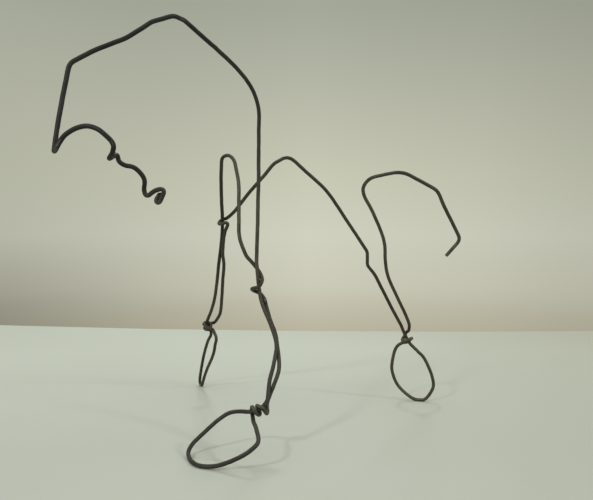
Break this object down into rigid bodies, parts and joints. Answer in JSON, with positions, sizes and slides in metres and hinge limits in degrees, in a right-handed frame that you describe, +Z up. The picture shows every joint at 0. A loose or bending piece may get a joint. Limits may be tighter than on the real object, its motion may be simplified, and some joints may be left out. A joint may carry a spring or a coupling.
{
  "type": "wire animal sculpture",
  "caption": "Freestanding line sculpture of an animal with its head lowered, bent from one length of soft black steel wire and standing on three looped feet twisted shut at the ankles.",
  "frame": {"origin": "centre of the sculpture's box, at the level of the surface that it stands on", "axes": "+X from the head towards the tail, +Y from the animal's left towards its right, +Z up"},
  "size_m": [0.2282, 0.1778, 0.1988],
  "materials": {
    "wire": "black annealed steel wire with a dull oxide skin, faintly brown, with a soft sheen"
  },
  "bodies": {
    "root": {"wire": "wire"}
  },
  "joints": []
}
